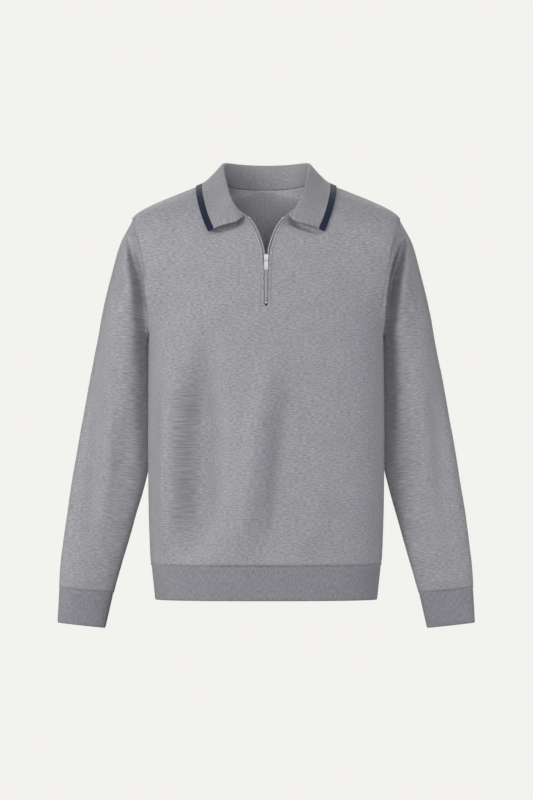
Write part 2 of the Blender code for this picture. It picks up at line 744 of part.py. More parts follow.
def zip_tapes(material, metal):
    steps = [TAPE_BOTTOM_ROW]
    steps += [t for t in row_steps(FRONT_ROWS) if TAPE_BOTTOM_ROW < t < TAPE_TOP_ROW]
    steps.append(TAPE_TOP_ROW)
    near = -TAPE_OVERHANG
    bead = near + BEAD_WIDTH
    far = near + TAPE_WIDTH
    tape = (
        (near, BEAD_FRONT), (bead, BEAD_FRONT), (bead, TAPE_FRONT), (far, TAPE_FRONT), (far, TAPE_BACK),
        (near, TAPE_BACK),
    )
    stop = (
        (near - STOP_OVERHANG, STOP_FRONT), (bead + STOP_OVERHANG, STOP_FRONT),
        (bead + STOP_OVERHANG, STOP_BACK), (near - STOP_OVERHANG, STOP_BACK),
    )
    top_steps = (TAPE_TOP_ROW + 0.02, ZIP_TOP_ROW - 0.02)
    for name, sign in (("left", 1), ("right", -1)):
        swept_bar("zip_tape_" + name, steps, tape, sign, material)
        swept_bar("zip_top_stop_" + name, top_steps, stop, sign, metal)


def zip_place(t):
    """Matrix of the zip's middle at a row: X to the wearer's right, Y down the zip, Z out of the fabric."""
    edge, along, _, _ = opening_frame(t)
    right = Vector((-1.0, 0.0, 0.0))
    down = -flattened(along, 0)
    matrix = Matrix((right, down, right.cross(down))).transposed().to_4x4()
    matrix.translation = Vector((0.0, edge.y, edge.z))
    return matrix


def prism(bm, outline, low, high):
    """A plate of an outline in X and Y, from one height to another."""
    bottom = [bm.verts.new((x, y, low)) for x, y in outline]
    top = [bm.verts.new((x, y, high)) for x, y in outline]
    bm.faces.new(bottom[::-1])
    bm.faces.new(top)
    for i in range(len(outline)):
        j = (i + 1) % len(outline)
        bm.faces.new((bottom[i], bottom[j], top[j], top[i]))


def cutter(name, bm):
    obj = new_object(name, bm, bpy.data.materials["metal"])
    obj.hide_render = True
    obj.display_type = "WIRE"
    return obj


def add_boolean(obj, other, operation):
    boolean = obj.modifiers.new(other.name, "BOOLEAN")
    boolean.operation = operation
    boolean.object = other


def slider(metal):
    place = zip_place(SLIDER_ROW)
    outline = (
        (-0.6 * SLIDER_HALF_WIDTH, -SLIDER_TOP), (0.6 * SLIDER_HALF_WIDTH, -SLIDER_TOP),
        (SLIDER_HALF_WIDTH, -0.75 * SLIDER_TOP), (SLIDER_HALF_WIDTH, -0.2 * SLIDER_TOP),
        (SLIDER_NECK, 0.5 * SLIDER_TOP), (SLIDER_NECK, SLIDER_TOP),
        (-SLIDER_NECK, SLIDER_TOP), (-SLIDER_NECK, 0.5 * SLIDER_TOP),
        (-SLIDER_HALF_WIDTH, -0.2 * SLIDER_TOP), (-SLIDER_HALF_WIDTH, -0.75 * SLIDER_TOP),
    )
    front = -PLATE_FRONT
    middle = front - PLATE_THICKNESS
    back = middle - CHANNEL
    bm = bmesh.new()
    prism(bm, outline, middle, front)
    body = new_object("zip_slider", bm, metal)
    body.matrix_world = place

    bm = bmesh.new()
    prism(bm, outline, back - PLATE_THICKNESS, back)
    rear = cutter("slider_rear_plate", bm)
    bm = bmesh.new()
    post = (
        (-POST_HALF_WIDTH, -SLIDER_TOP), (POST_HALF_WIDTH, -SLIDER_TOP),
        (0.3 * POST_HALF_WIDTH, -SLIDER_TOP + POST_LENGTH),
        (-0.3 * POST_HALF_WIDTH, -SLIDER_TOP + POST_LENGTH),
    )
    prism(bm, post, back - PLATE_THICKNESS / 2, front - PLATE_THICKNESS / 2)
    post_piece = cutter("slider_post", bm)
    bail = cutter("slider_bail", bail_bmesh(front))
    for piece in (post_piece, rear, bail):
        piece.matrix_world = place
        add_boolean(body, piece, "UNION")


def bail_bmesh(front):
    """The arch on the slider that carries the tab: half a ring, on legs that reach into the plate."""
    bm = bmesh.new()
    steps = 12
    centre_z = front + PIVOT_AHEAD
    foot_z = front - PLATE_THICKNESS / 2
    inner = [(BAIL_INNER, foot_z)]
    outer = [(BAIL_OUTER, foot_z)]
    for i in range(steps + 1):
        angle = math.pi * i / steps
        inner.append((BAIL_INNER * math.cos(angle), centre_z + BAIL_INNER * math.sin(angle)))
        outer.append((BAIL_OUTER * math.cos(angle), centre_z + BAIL_OUTER * math.sin(angle)))
    inner.append((-BAIL_INNER, foot_z))
    outer.append((-BAIL_OUTER, foot_z))
    rows = []
    for (inner_y, inner_z), (outer_y, outer_z) in zip(inner, outer):
        rows.append([
            bm.verts.new((-BAIL_HALF_WIDTH, BAIL_DOWN + inner_y, inner_z)),
            bm.verts.new((BAIL_HALF_WIDTH, BAIL_DOWN + inner_y, inner_z)),
            bm.verts.new((BAIL_HALF_WIDTH, BAIL_DOWN + outer_y, outer_z)),
            bm.verts.new((-BAIL_HALF_WIDTH, BAIL_DOWN + outer_y, outer_z)),
        ])
    grid_faces(bm, rows, True, False)
    bm.faces.new(rows[0])
    bm.faces.new(rows[-1])
    return bm


def pull_tab(metal):
    """The tab hangs from the bail, with its origin on the axis it turns about."""
    pivot_height = -PLATE_FRONT + PIVOT_AHEAD
    place = zip_place(SLIDER_ROW) @ Matrix.Translation((0.0, BAIL_DOWN, pivot_height))
    half = TAB_THICKNESS / 2
    end = TAB_LENGTH - TAB_HALF_WIDTH
    outline = [(TAB_SHOULDER, -TAB_BAR), (TAB_SHOULDER, EYE_LENGTH)]
    outline.append((TAB_HALF_WIDTH, EYE_LENGTH + TAB_SLOPE))
    for i in range(9):
        angle = math.pi * i / 8
        outline.append((
            TAB_HALF_WIDTH * signed_power(math.cos(angle), 0.6),
            end + TAB_HALF_WIDTH * math.sin(angle) ** 0.6,
        ))
    outline.append((-TAB_HALF_WIDTH, EYE_LENGTH + TAB_SLOPE))
    outline.append((-TAB_SHOULDER, EYE_LENGTH))
    outline.append((-TAB_SHOULDER, -TAB_BAR))
    bm = bmesh.new()
    prism(bm, outline, -half, half)
    tab = new_object("zip_pull_tab", bm, metal)
    tab.matrix_world = place

    bm = bmesh.new()
    eye = (
        (-EYE_HALF_WIDTH, TAB_BAR), (EYE_HALF_WIDTH, TAB_BAR),
        (EYE_HALF_WIDTH, EYE_LENGTH), (-EYE_HALF_WIDTH, EYE_LENGTH),
    )
    prism(bm, eye, -2 * half, 2 * half)
    eye_cut = cutter("tab_eye", bm)
    bm = bmesh.new()
    hole = []
    for i in range(12):
        angle = math.tau * i / 12
        hole.append((
            TAB_HOLE_HALF_WIDTH * signed_power(math.cos(angle), 0.7),
            TAB_HOLE_DOWN + TAB_HOLE_HALF_HEIGHT * signed_power(math.sin(angle), 0.7),
        ))
    prism(bm, hole, -2 * half, 2 * half)
    hole_cut = cutter("tab_hole", bm)
    for piece in (eye_cut, hole_cut):
        piece.matrix_world = place
        add_boolean(tab, piece, "DIFFERENCE")


def bottom_stop(metal):
    place = zip_place(BOTTOM_STOP_ROW)
    bm = bmesh.new()
    half_width = BEAD_WIDTH + STOP_OVERHANG
    outline = (
        (-half_width, -STOP_LENGTH / 2), (half_width, -STOP_LENGTH / 2),
        (half_width, STOP_LENGTH / 2), (-half_width, STOP_LENGTH / 2),
    )
    prism(bm, outline, -STOP_BACK, -STOP_FRONT)
    new_object("zip_bottom_stop", bm, metal).matrix_world = place


# ------------------------------------------------------------------ build
def build():
    for obj in list(bpy.data.objects):
        bpy.data.objects.remove(obj, do_unlink=True)
    knit = new_material("knit", 0.95, 0.0)
    rib = new_material("rib", 0.95, 0.0)
    tape = new_material("tape", 0.9, 0.0)
    metal = new_material("metal", 0.3, 1.0)
    body = body_tree(panel("front", FRONT_ROWS, -1, knit), panel("back", BACK_ROWS, 1, knit))
    for name, sign in (("left", 1), ("right", -1)):
        sleeve("sleeve_" + name, sign, knit)
        ribbed_band("cuff_" + name, cuff_section(CUFF_END, sign), cuff_section(CUFF_TOP, sign), rib)
    ribbed_band("hem_band", hem_section(HEM_BOTTOM_Z), hem_section(HEM_SEAM_Z - SEAM_GAP / 2), rib)
    collar(rib, body)
    zip_tapes(tape, metal)
    bottom_stop(metal)
    slider(metal)
    pull_tab(metal)


build()
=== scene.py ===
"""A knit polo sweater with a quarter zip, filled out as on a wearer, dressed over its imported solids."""

import heapq
import math
from collections import namedtuple

import bmesh
import bpy
from mathutils import Matrix, Vector, noise
from mathutils.bvhtree import BVHTree
from mathutils.kdtree import KDTree


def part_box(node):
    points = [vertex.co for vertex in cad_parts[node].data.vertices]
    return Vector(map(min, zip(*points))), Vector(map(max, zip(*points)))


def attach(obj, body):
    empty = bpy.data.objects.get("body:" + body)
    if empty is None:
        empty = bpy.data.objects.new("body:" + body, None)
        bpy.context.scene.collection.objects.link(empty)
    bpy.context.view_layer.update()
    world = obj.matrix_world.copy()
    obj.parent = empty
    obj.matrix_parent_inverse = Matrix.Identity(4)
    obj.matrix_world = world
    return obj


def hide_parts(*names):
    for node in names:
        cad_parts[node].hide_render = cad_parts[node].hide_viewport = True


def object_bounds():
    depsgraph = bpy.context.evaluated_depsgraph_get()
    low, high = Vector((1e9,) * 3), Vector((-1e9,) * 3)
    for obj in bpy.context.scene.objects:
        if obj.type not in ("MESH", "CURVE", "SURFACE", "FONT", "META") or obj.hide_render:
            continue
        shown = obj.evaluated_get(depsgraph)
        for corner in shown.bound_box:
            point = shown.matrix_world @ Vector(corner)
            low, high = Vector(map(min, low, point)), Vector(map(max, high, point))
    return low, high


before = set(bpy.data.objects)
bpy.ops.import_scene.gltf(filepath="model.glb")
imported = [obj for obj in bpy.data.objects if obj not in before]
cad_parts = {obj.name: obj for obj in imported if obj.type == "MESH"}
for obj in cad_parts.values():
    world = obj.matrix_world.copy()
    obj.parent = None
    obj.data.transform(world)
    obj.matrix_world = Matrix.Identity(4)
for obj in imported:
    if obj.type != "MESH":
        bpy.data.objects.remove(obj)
cad_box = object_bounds()


# ------------------------------------------------------------------ studio
# The photograph looks straight at the front from far away, in soft light from the front and upper left. The
# ground and what is behind it are one even pale tone with no shadow, so the floor here gives off that tone.
def linear(code):
    """An sRGB hex colour as linear red, green, blue and alpha."""
    parts = [int(code[i:i + 2], 16) / 255 for i in (1, 3, 5)]
    return [p / 12.92 if p <= 0.04045 else ((p + 0.055) / 1.055) ** 2.4 for p in parts] + [1.0]


def add_node(tree, kind, inputs=None, **settings):
    """Add a shader node. Each input is a value or another node's output, by its name or number."""
    node = tree.nodes.new("ShaderNode" + kind)
    for key, value in settings.items():
        setattr(node, key, value)
    for key, value in (inputs or {}).items():
        if isinstance(value, bpy.types.NodeSocket):
            tree.links.new(value, node.inputs[key])
        else:
            node.inputs[key].default_value = value
    return node


GROUND = "#f3f2ee"
METRES_TO_A_PIXEL = 0.001661     # at the garment
PHOTO_HEIGHT = 800
SHOULDER_PIXEL_Y = 178.5         # row of the photograph at the frame's Z = 0
CAMERA_DISTANCE = 10.0
SENSOR = 36.0
FLOOR_DROP = 0.12                # the floor is this far below the hanging sleeves
FLOOR_SIZE = 40.0
AIR_LIGHT = 0.04

scene = bpy.context.scene
scene.view_settings.view_transform = "Standard"

eye = bpy.data.cameras.new("camera")
eye.sensor_width = SENSOR
eye.lens = SENSOR * CAMERA_DISTANCE / (PHOTO_HEIGHT * METRES_TO_A_PIXEL)
camera = bpy.data.objects.new("camera", eye)
camera.location = (0.0005, -CAMERA_DISTANCE, (SHOULDER_PIXEL_Y - PHOTO_HEIGHT / 2) * METRES_TO_A_PIXEL)
camera.rotation_euler = (math.pi / 2, 0.0, 0.0)
scene.collection.objects.link(camera)
scene.camera = camera

world = bpy.data.worlds.new("studio")
world.use_nodes = True
air = world.node_tree
air.nodes.clear()
seen = add_node(air, "Background", {"Color": linear(GROUND), "Strength": 1.0})
fill = add_node(air, "Background", {"Color": linear("#fbfbff"), "Strength": AIR_LIGHT})
path = add_node(air, "LightPath")
bright = add_node(air, "Math", {
    0: path.outputs["Is Camera Ray"], 1: path.outputs["Is Glossy Ray"],
}, operation="MAXIMUM")
mixed = add_node(air, "MixShader", {0: bright.outputs[0], 1: fill.outputs[0], 2: seen.outputs[0]})
add_node(air, "OutputWorld", {"Surface": mixed.outputs[0]})
scene.world = world

pale = bpy.data.materials.new("pale_paper")
pale.use_nodes = True
pale.node_tree.nodes.clear()
glow = add_node(pale.node_tree, "Emission", {"Color": linear(GROUND), "Strength": 1.0})
add_node(pale.node_tree, "OutputMaterial", {"Surface": glow.outputs[0]})

bm = bmesh.new()
bmesh.ops.create_grid(bm, x_segments=1, y_segments=1, size=FLOOR_SIZE)
bmesh.ops.translate(bm, vec=(0.0, 0.0, cad_box[0].z - FLOOR_DROP), verts=bm.verts)
mesh = bpy.data.meshes.new("floor")
bm.to_mesh(mesh)
bm.free()
mesh.materials.append(pale)
floor = bpy.data.objects.new("floor", mesh)
floor.visible_diffuse = False
floor.visible_glossy = False
floor.visible_shadow = False
scene.collection.objects.link(floor)

# Soft boxes stand on a wide circle, so that their light is even over the garment. Metal mirrors the pale room
# and not the boxes. Light is what reaches the garment, in watts to the square metre.
Lamp = namedtuple("Lamp", "name azimuth height distance size light colour")
LAMPS = (
    Lamp("key", -36, 12, 6.0, 2.7, 1.7, "#fffefc"),
    Lamp("front", 0, 5, 6.0, 3.0, 1.65, "#fdfdff"),
    Lamp("left_side", -85, 15, 6.0, 2.7, 1.05, "#fffefc"),
    Lamp("right_side", 80, 12, 6.0, 2.7, 1.35, "#fbfcff"),
    Lamp("back", 180, 36, 6.0, 3.0, 3.2, "#ffffff"),
)
AIM = Vector((0.0, 0.0, -0.35))
for lamp in LAMPS:
    light = bpy.data.lights.new(lamp.name, "AREA")
    light.shape = "DISK"
    light.size = lamp.size
    light.energy = lamp.light * math.pi * lamp.distance ** 2
    light.color = linear(lamp.colour)[:3]
    stand = bpy.data.objects.new(lamp.name, light)
    turn = math.radians(lamp.azimuth)
    rise = math.radians(lamp.height)
    way = Vector((math.sin(turn) * math.cos(rise), -math.cos(turn) * math.cos(rise), math.sin(rise)))
    stand.location = AIM + way * lamp.distance
    stand.rotation_euler = (-way).to_track_quat("-Z", "Y").to_euler()
    stand.visible_camera = False
    stand.visible_glossy = False
    scene.collection.objects.link(stand)


# ------------------------------------------------------------------ front and back
# Two fully fashioned panels of fine plain knit, in a grey yarn spun from darker and paler fibres. They are
# shaped on the machine and linked at the shoulders and down the sides, and hang from the wearer's shoulders.
MM = 0.001
WELD = 0.02 * MM                 # joins the corners of a solid's loose triangles
SHARP = math.radians(60)         # steeper than this is the edge of a piece's wall


def cloth_copy(node, levels):
    """A piece of fabric on its solid's form: the node's mesh in quads, subdivided, its wall's edges sharp."""
    bm = bmesh.new()
    bm.from_mesh(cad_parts[node].data)
    bmesh.ops.remove_doubles(bm, verts=bm.verts, dist=WELD)
    bmesh.ops.join_triangles(
        bm, faces=bm.faces, angle_face_threshold=SHARP, angle_shape_threshold=2 * SHARP,
        topology_influence=2.0,
    )
    crease = bm.edges.layers.float.new("crease_edge")
    for edge in bm.edges:
        if edge.calc_face_angle(0.0) > SHARP:
            edge[crease] = 1.0
    mesh = bpy.data.meshes.new(node)
    bm.to_mesh(mesh)
    bm.free()
    obj = bpy.data.objects.new(node, mesh)
    scene.collection.objects.link(obj)
    subdivision = obj.modifiers.new("subdivision", "SUBSURF")
    subdivision.levels = levels
    subdivision.render_levels = levels
    smooth = bmesh.new()
    smooth.from_object(obj, bpy.context.evaluated_depsgraph_get())
    bpy.data.objects.remove(obj)
    bpy.data.meshes.remove(mesh)
    smooth.normal_update()
    return smooth


def surface_from(seed):
    """The faces reached from a seed face without crossing a sharp edge."""
    reached = {seed}
    waiting = [seed]
    while waiting:
        for edge in waiting.pop().edges:
            if edge.calc_face_angle(0.0) > SHARP:
                continue
            for face in edge.link_faces:
                if face not in reached:
                    reached.add(face)
                    waiting.append(face)
    return reached


def outlines(faces):
    """The outlines of a surface: closed rings of places."""
    border = {}
    for face in faces:
        for loop in face.loops:
            if sum(other in faces for other in loop.edge.link_faces) == 1:
                border[loop.vert] = loop.link_loop_next.vert
    rings = []
    while border:
        start, vert = border.popitem()
        ring = [start.co.copy()]
        while vert is not start:
            ring.append(vert.co.copy())
            vert = border.pop(vert)
        rings.append(ring)
    return rings


def skin_tree(bm, faces):
    """The outer skin of a piece, to lay seams and stitches on."""
    bm.verts.index_update()
    return BVHTree.FromPolygons(
        [vert.co.copy() for vert in bm.verts], [[vert.index for vert in face.verts] for face in faces],
    )


def finished(bm, name, material, nodes=(), body="garment"):
    """The piece's object, riding on its body in place of its nodes."""
    mesh = bpy.data.meshes.new(name)
    bm.to_mesh(mesh)
    bm.free()
    mesh.shade_smooth()
    mesh.materials.append(material)
    obj = bpy.data.objects.new(name, mesh)
    scene.collection.objects.link(obj)
    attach(obj, body)
    if nodes:
        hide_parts(*nodes)
    return obj


def lay_cloth(bm, place):
    """Give a piece a UV map in metres that follows its rows and columns of stitches."""
    layer = bm.loops.layers.uv.new("Cloth")
    for face in bm.faces:
        for loop in face.loops:
            loop[layer].uv = place(loop.vert.co)


# Marl knit in fine merino and cotton: two tones of fibre spun together give short dashes along each row of
# stitches. Dull, with a little sheen from the fibre ends. A stitch is 1.7 mm wide and 1.3 mm high, two legs
# of yarn that meet in a V; its colour carries painted shade where the legs dip and a faint painted highlight on top.
def marl_knit(name, dark, pale, wale=1.7, course=1.3, dash=(6.2, 2.1), relief=0.22):
    material = bpy.data.materials.new(name)
    material.use_nodes = True
    tree = material.node_tree
    shader = tree.nodes["Principled BSDF"]
    shader.inputs["Roughness"].default_value = 0.92
    shader.inputs["Specular IOR Level"].default_value = 0.25
    shader.inputs["Sheen Weight"].default_value = 0.18
    shader.inputs["Sheen Roughness"].default_value = 0.45
    place = add_node(tree, "UVMap", uv_map="Cloth")
    dashes = add_node(tree, "Mapping", {
        "Vector": place.outputs[0], "Scale": (1 / (dash[0] * MM), 1 / (dash[1] * MM), 1.0),
    })
    streaks = add_node(tree, "TexNoise", {
        "Vector": dashes.outputs[0], "Scale": 1.0, "Detail": 3.0, "Roughness": 0.6,
    })
    clouds = add_node(tree, "TexNoise", {"Vector": place.outputs[0], "Scale": 1 / (28 * MM), "Detail": 1.0})
    tone = add_node(tree, "MapRange", {0: streaks.outputs[0], 1: 0.25, 2: 0.75, 3: 0.0, 4: 1.0})
    colour = add_node(tree, "Mix", {
        0: tone.outputs[0], 6: linear(dark), 7: linear(pale),
    }, data_type="RGBA")
    patch = add_node(tree, "MapRange", {0: clouds.outputs[0], 1: 0.3, 2: 0.7, 3: 0.97, 4: 1.03})
    shaded = add_node(tree, "Mix", {
        0: 1.0, 6: colour.outputs[2], 7: patch.outputs[0],
    }, data_type="RGBA", blend_type="MULTIPLY")

    split = add_node(tree, "SeparateXYZ", {0: place.outputs[0]})
    across = add_node(tree, "Math", {0: split.outputs[0], 1: 1 / (wale * MM)}, operation="MULTIPLY")
    from_middle = add_node(tree, "Math", {0: across.outputs[0], 1: 0.5}, operation="PINGPONG")
    up = add_node(tree, "Math", {0: split.outputs[1], 1: 1 / (course * MM)}, operation="MULTIPLY")
    leg = add_node(tree, "Math", {
        0: from_middle.outputs[0], 1: -1.6, 2: up.outputs[0],
    }, operation="MULTIPLY_ADD")
    turns = add_node(tree, "Math", {0: leg.outputs[0], 1: math.tau}, operation="MULTIPLY")
    ply = add_node(tree, "Math", {0: turns.outputs[0]}, operation="SINE")
    width = add_node(tree, "Math", {0: from_middle.outputs[0], 1: math.tau}, operation="MULTIPLY")
    loop = add_node(tree, "Math", {0: width.outputs[0]}, operation="SINE")
    stitch = add_node(tree, "Math", {0: ply.outputs[0], 1: 0.45, 2: loop.outputs[0]}, operation="MULTIPLY_ADD")
    stitch_bump = add_node(tree, "Bump", {
        "Height": stitch.outputs[0], "Strength": 0.5, "Distance": relief * MM,
    })
    streak_bump = add_node(tree, "Bump", {
        "Height": streaks.outputs[0], "Strength": 0.35, "Distance": 0.4 * MM, "Normal": stitch_bump.outputs[0],
    })
    # Painted shade and highlight: the stitch's height darkens the colour in its hollows and lifts it a little on its
    # loop tops.
    shade = add_node(tree, "MapRange", {0: stitch.outputs[0], 1: -1.0, 2: 1.2, 3: 0.86, 4: 1.05})
    painted_stitch_shade = add_node(tree, "Mix", {
        0: 1.0, 6: shaded.outputs[2], 7: shade.outputs[0],
    }, data_type="RGBA", blend_type="MULTIPLY")
    tree.links.new(painted_stitch_shade.outputs[2], shader.inputs["Base Color"])
    tree.links.new(streak_bump.outputs[0], shader.inputs["Normal"])
    return material


knit = marl_knit("plain_knit_merino", "#7c7c81", "#afaeb3")
# The cloth's reverse, on the panels' inner faces, is drawn in paler tones: painted light for the inside of the body.
reverse = marl_knit("plain_knit_reverse_painted_light", "#87878c", "#cdccd2", wale=1.3, course=1.7, dash=(4.6, 1.9))

Crease = namedtuple("Crease", "side top_x top_z bottom_x bottom_z width height")


def smooth_step(x):
    x = max(0.0, min(1.0, x))
    return x * x * (3 - 2 * x)


def press(bm, creases, rough, seed, stay=None):
    """Push creases into the cloth, each a soft ridge or trough on a line in the front view, and leave it a
    little uneven. stay gives how far each point may move, from 0 to 1."""
    moves = []
    for vert in bm.verts:
        total = noise.noise(vert.co / 0.055 + Vector((seed, 0.0, 0.0))) * rough
        total += noise.noise(vert.co / 0.022 + Vector((0.0, seed, 0.0))) * rough * 0.35
        for crease in creases:
            if (vert.co.y < crease_divide(vert.co)) != (crease.side == "front"):
                continue
            run = Vector((crease.bottom_x - crease.top_x, crease.bottom_z - crease.top_z))
            offset = Vector((vert.co.x - crease.top_x, vert.co.z - crease.top_z))
            along = max(0.0, min(1.0, offset.dot(run) / run.length_squared))
            distance = (offset - run * along).length
            if distance < 3 * crease.width:
                fade = smooth_step(along / 0.35) * smooth_step((1 - along) / 0.35)
                total += crease.height * MM * fade * math.exp(-((distance / crease.width) ** 2))
        moves.append(total * (stay(vert.co) if stay else 1.0))
    outward = skin_ways(bm)
    for vert, way, move in zip(bm.verts, outward, moves):
        vert.co += way * move
    bm.normal_update()


def crease_divide(point):
    """The depth that parts a piece's front from its back, at a point."""
    return 0.0 if abs(point.x) < 0.19 else 0.03


def skin_ways(bm):
    """The way out of the cloth at each vertex, the same on the outside of its wall and the inside."""
    ways = []
    for vert in bm.verts:
        way = Vector(vert.normal)
        axis = Vector((0.0, crease_divide(vert.co), vert.co.z))
        if abs(vert.co.x) > 0.19:
            axis.x = math.copysign(0.222 + 0.06 * smooth_step((-0.3 - vert.co.z) / 0.35), vert.co.x)
        if way.dot(vert.co - axis) < 0:
            way = -way
        ways.append(way)
    return ways


BODY_LEVELS = 2
HEM_Z = -0.642
GIRTH_WIDTH = 0.195              # half the body's width and depth, for measuring round it
GIRTH_DEPTH = 0.122
GIRTH_POWER = 2.4
GIRTH_STEPS = 160


def girth_table():
    """Distances round a quarter of the body from the middle of the front to the side, by angle."""
    table = [(0.0, 0.0)]
    before = Vector((0.0, GIRTH_DEPTH))
    length = 0.0
    for i in range(1, GIRTH_STEPS + 1):
        turn = math.pi / 2 * i / GIRTH_STEPS
        point = Vector((
            GIRTH_WIDTH * math.sin(turn) ** (2 / GIRTH_POWER),
            GIRTH_DEPTH * max(math.cos(turn), 0.0) ** (2 / GIRTH_POWER),
        ))
        length += (point - before).length
        before = point
        table.append((math.atan2(point.x, point.y), length))
    return table


GIRTH = girth_table()


def girth(x, y):
    """Distance round the body from the middle of its front or back."""
    angle = math.atan2(abs(x), abs(y))
    for (a, low), (b, high) in zip(GIRTH, GIRTH[1:]):
        if angle <= b:
            return math.copysign(low + (high - low) * (angle - a) / max(b - a, 1e-9), x)
    return math.copysign(GIRTH[-1][1], x)


BODY_CREASES = (
    Crease("front", -0.156, -0.270, -0.162, -0.660, 0.016, 13.0),
    Crease("front", -0.090, -0.220, -0.112, -0.440, 0.022, -8.0),
    Crease("front", -0.104, -0.270, -0.112, -0.670, 0.029, -24.0),
    Crease("front", -0.070, -0.330, -0.108, -0.640, 0.020, -2.5),
    Crease("front", 0.006, -0.280, -0.048, -0.650, 0.018, 8.5),
    Crease("front", 0.042, -0.280, 0.006, -0.660, 0.022, -16.0),
    Crease("front", 0.102, -0.088, 0.032, -0.064, 0.009, -18.0),
    Crease("front", -0.102, -0.088, -0.032, -0.064, 0.009, -18.0),
    Crease("front", 0.100, -0.480, 0.066, -0.640, 0.018, 1.8),
    Crease("front", 0.118, -0.500, 0.098, -0.640, 0.013, -1.2),
    Crease("front", 0.166, -0.110, 0.178, -0.230, 0.016, 1.6),
    Crease("front", -0.172, -0.110, -0.184, -0.240, 0.014, 1.6),
    Crease("front", -0.060, -0.520, -0.100, -0.640, 0.016, 1.5),
    Crease("back", -0.128, -0.290, -0.104, -0.640, 0.018, 3.0),
    Crease("back", -0.096, -0.330, -0.076, -0.640, 0.020, -3.0),
    Crease("back", -0.020, -0.340, -0.050, -0.640, 0.020, -2.5),
    Crease("back", 0.062, -0.300, 0.036, -0.640, 0.022, 3.5),
    Crease("back", 0.100, -0.330, 0.080, -0.640, 0.018, -2.5),
    Crease("back", 0.140, -0.300, 0.128, -0.640, 0.015, 2.0),
    Crease("back", 0.060, -0.090, 0.150, -0.150, 0.020, -1.8),
    Crease("back", -0.070, -0.080, -0.160, -0.140, 0.022, -1.8),
)


def body_stay(point):
    """The cloth is held at the seams, and along the zip."""
    held = smooth_step((point.z - HEM_Z) / 0.03) * smooth_step(abs(point.y) / 0.05)
    if point.y < 0 and point.z > -0.235:
        held *= smooth_step((abs(point.x) - 0.012) / 0.03)
    return held


body_edges = {}
body_skin = {}
panels = {}
for name, side in (("front", -1), ("back", 1)):
    bm = cloth_copy(name, BODY_LEVELS)
    seed = max(bm.faces, key=lambda face: face.calc_center_median().y * side)
    outside = surface_from(seed)
    press(bm, BODY_CREASES, 0.7 * MM, 3.0 + side, body_stay)
    body_edges[name] = max(outlines(outside), key=len)
    body_skin[name] = skin_tree(bm, outside)
    for face in bm.faces:
        face.material_index = 0 if face in outside else 1
    lay_cloth(bm, lambda point: (girth(point.x, point.y), point.z))
    panels[name] = finished(bm, name + "_panel", knit, [name])
    # The inner faces take the paler reverse, painted light on the inside of the body.
    panels[name].data.materials.append(reverse)


# ------------------------------------------------------------------ sleeves
# Long fitted sleeves in the same knit, fashioned to narrow towards the wrist and linked into the armholes.
# Their rows of stitches lie square to the arm, which hangs a little out from the body.
SLEEVE_TURN = math.radians(10.5)
SLEEVE_PIVOT = (0.222, 0.02, -0.150)
SEAM_HOLD = 0.001                # the sleeve is held within this distance of its seam
SEAM_STEP = 0.005                # and falls back in this one
ARMHOLE_HEAD = -0.0685
ARMHOLE_FOOT = -0.2615
# The deep fold beside the armhole and the body's side: at each height its valley's place across, how far back
# it lies, how fast it rises outwards, and how far the sleeve swells in front of it.
Fold = namedtuple("Fold", "z valley depth width swell")
FOLD = (
    Fold(-0.086, 0.2280, 0.000, 0.007, 0.000),
    Fold(-0.099, 0.2250, 0.020, 0.007, 0.001),
    Fold(-0.127, 0.2195, 0.036, 0.009, 0.003),
    Fold(-0.144, 0.2145, 0.050, 0.011, 0.005),
    Fold(-0.169, 0.2065, 0.062, 0.013, 0.006),
    Fold(-0.202, 0.2010, 0.060, 0.014, 0.006),
    Fold(-0.252, 0.1965, 0.042, 0.016, 0.003),
    Fold(-0.330, 0.1950, 0.033, 0.018, 0.001),
    Fold(-0.420, 0.1950, 0.025, 0.015, 0.000),
    Fold(-0.500, 0.1960, 0.011, 0.011, 0.000),
    Fold(-0.560, 0.2000, 0.000, 0.010, 0.000),
)
# How full the fold is, above and below the underarm. The right sleeve hangs closer to the body.
FULLNESS = {"sleeve_left": (0.95, 0.95), "sleeve_right": (0.80, 0.50)}
BACK_SHARE = 0.4                 # the fold down the back of the sleeve, beside the one in front
SLEEVE_LEVELS = 3
SLEEVE_CREASES = (
    Crease("front", 0.252, -0.300, 0.268, -0.600, 0.011, 2.0),
    Crease("front", 0.280, -0.330, 0.298, -0.620, 0.011, -2.5),
    Crease("front", 0.268, -0.120, 0.276, -0.300, 0.014, 1.2),
    Crease("front", 0.226, -0.330, 0.252, -0.440, 0.012, 2.0),
    Crease("front", 0.222, -0.440, 0.252, -0.500, 0.010, -1.5),
    Crease("front", 0.252, -0.655, 0.330, -0.640, 0.005, -1.6),
    Crease("front", 0.262, -0.672, 0.340, -0.662, 0.005, 1.4),
    Crease("front", 0.290, -0.625, 0.345, -0.610, 0.006, -1.3),
    Crease("front", 0.245, -0.635, 0.285, -0.625, 0.006, 1.2),
    Crease("back", 0.232, -0.270, 0.262, -0.560, 0.014, 2.5),
    Crease("back", 0.262, -0.330, 0.292, -0.620, 0.013, -3.0),
    Crease("back", 0.226, -0.400, 0.285, -0.440, 0.011, -2.2),
    Crease("back", 0.236, -0.440, 0.296, -0.470, 0.011, 2.0),
    Crease("back", 0.246, -0.480, 0.300, -0.500, 0.010, -1.8),
    Crease("back", 0.252, -0.655, 0.335, -0.645, 0.005, -1.6),
    Crease("back", 0.262, -0.670, 0.338, -0.664, 0.005, 1.3),
)


def sleeve_stay(point):
    return smooth_step((point.z + 0.684) / 0.012)


def sleeve_axis(z):
    """Middle of the sleeve at a height: its x, y and half-width there."""
    share = smooth_step((-0.12 - z) / 0.1) * 0.4 + 0.6 * max(0.0, min(1.0, (-0.15 - z) / 0.52))
    return 0.222 + 0.078 * share, 0.028 - 0.012 * share, 0.052 - 0.022 * share


